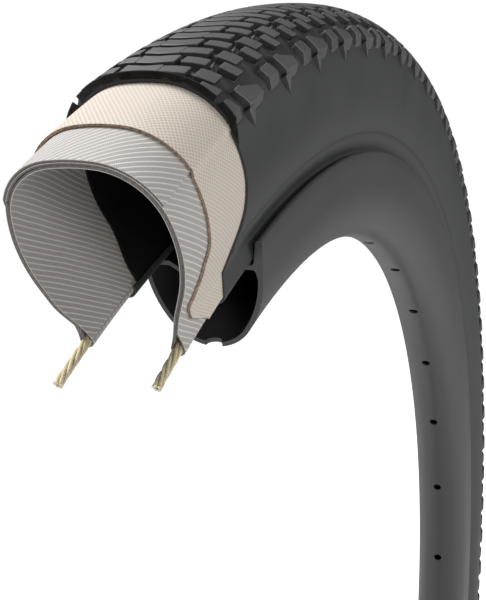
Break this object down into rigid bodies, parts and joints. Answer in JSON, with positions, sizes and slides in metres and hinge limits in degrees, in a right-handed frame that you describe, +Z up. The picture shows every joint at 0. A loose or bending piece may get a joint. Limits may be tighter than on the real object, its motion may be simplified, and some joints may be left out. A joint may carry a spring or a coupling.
{
  "type": "bicycle tire",
  "caption": "Tubeless bicycle tire seated on a hollow rim, cut away in steps at one end to show its tread, fabric layers and bead cores, with a removable-cap valve.",
  "frame": {"origin": "centre of the wheel, on the axle line and in the tire's middle plane", "axes": "+Y along the axle, +Z up, +X forward; the cut-away end is at the upper rear, between 109 and 150 degrees from +X towards +Z"},
  "size_m": [0.7274, 0.0424, 0.7274],
  "materials": {
    "tread_rubber": "matt black tread rubber",
    "sidewall_rubber": "smooth matt black sidewall rubber",
    "liner_rubber": "thin airtight black rubber film",
    "casing_fabric": "pale rubberised casing fabric with fine parallel cords",
    "protection_fabric": "beige rubberised protection weave",
    "bead_cord": "twisted golden aramid cord",
    "filler_rubber": "black filler rubber",
    "rim_carbon": "satin dark grey carbon laminate",
    "tape": "black airtight rim tape",
    "seal_rubber": "black moulded rubber",
    "valve_metal": "bare machined aluminium",
    "nut_metal": "black anodised aluminium",
    "core_brass": "nickel-plated brass",
    "cap_plastic": "black moulded plastic"
  },
  "bodies": {
    "root": {"rim_shell": "rim_carbon", "rim_tape": "tape", "inner_liner": "liner_rubber", "casing_ply": "casing_fabric", "protection_layer": "protection_fabric", "bead_filler_left": "filler_rubber", "bead_filler_right": "filler_rubber", "bead_core_left": "bead_cord", "bead_core_right": "bead_cord", "sidewall_left": "sidewall_rubber", "sidewall_right": "sidewall_rubber", "tread_cap": "tread_rubber", "valve_stem": "valve_metal", "valve_base_seal": "seal_rubber", "valve_o_ring": "seal_rubber", "valve_core": "core_brass"},
    "cap": {"valve_cap": "cap_plastic"},
    "lock_nut": {"valve_lock_nut": "nut_metal"},
    "pin": {"valve_core_pin": "core_brass", "valve_core_seal": "seal_rubber"},
    "finger_nut": {"valve_finger_nut": "core_brass"}
  },
  "joints": [
    {"name": "cap_lift", "type": "slide", "parent": "root", "child": "cap", "axis": [-0.0442, 0, 0.999], "range_m": [0, 0.03]},
    {"name": "lock_nut_spin", "type": "hinge", "parent": "root", "child": "lock_nut", "pos_m": [0.01242, 0, -0.28063], "axis": [-0.0442, 0, 0.999], "continuous": true},
    {"name": "pin_press", "type": "slide", "parent": "root", "child": "pin", "axis": [0.0442, 0, -0.999], "range_m": [0, 0.002]},
    {"name": "finger_nut_spin", "type": "hinge", "parent": "pin", "child": "finger_nut", "pos_m": [0.0104, 0, -0.23487], "axis": [-0.0442, 0, 0.999], "continuous": true}
  ]
}
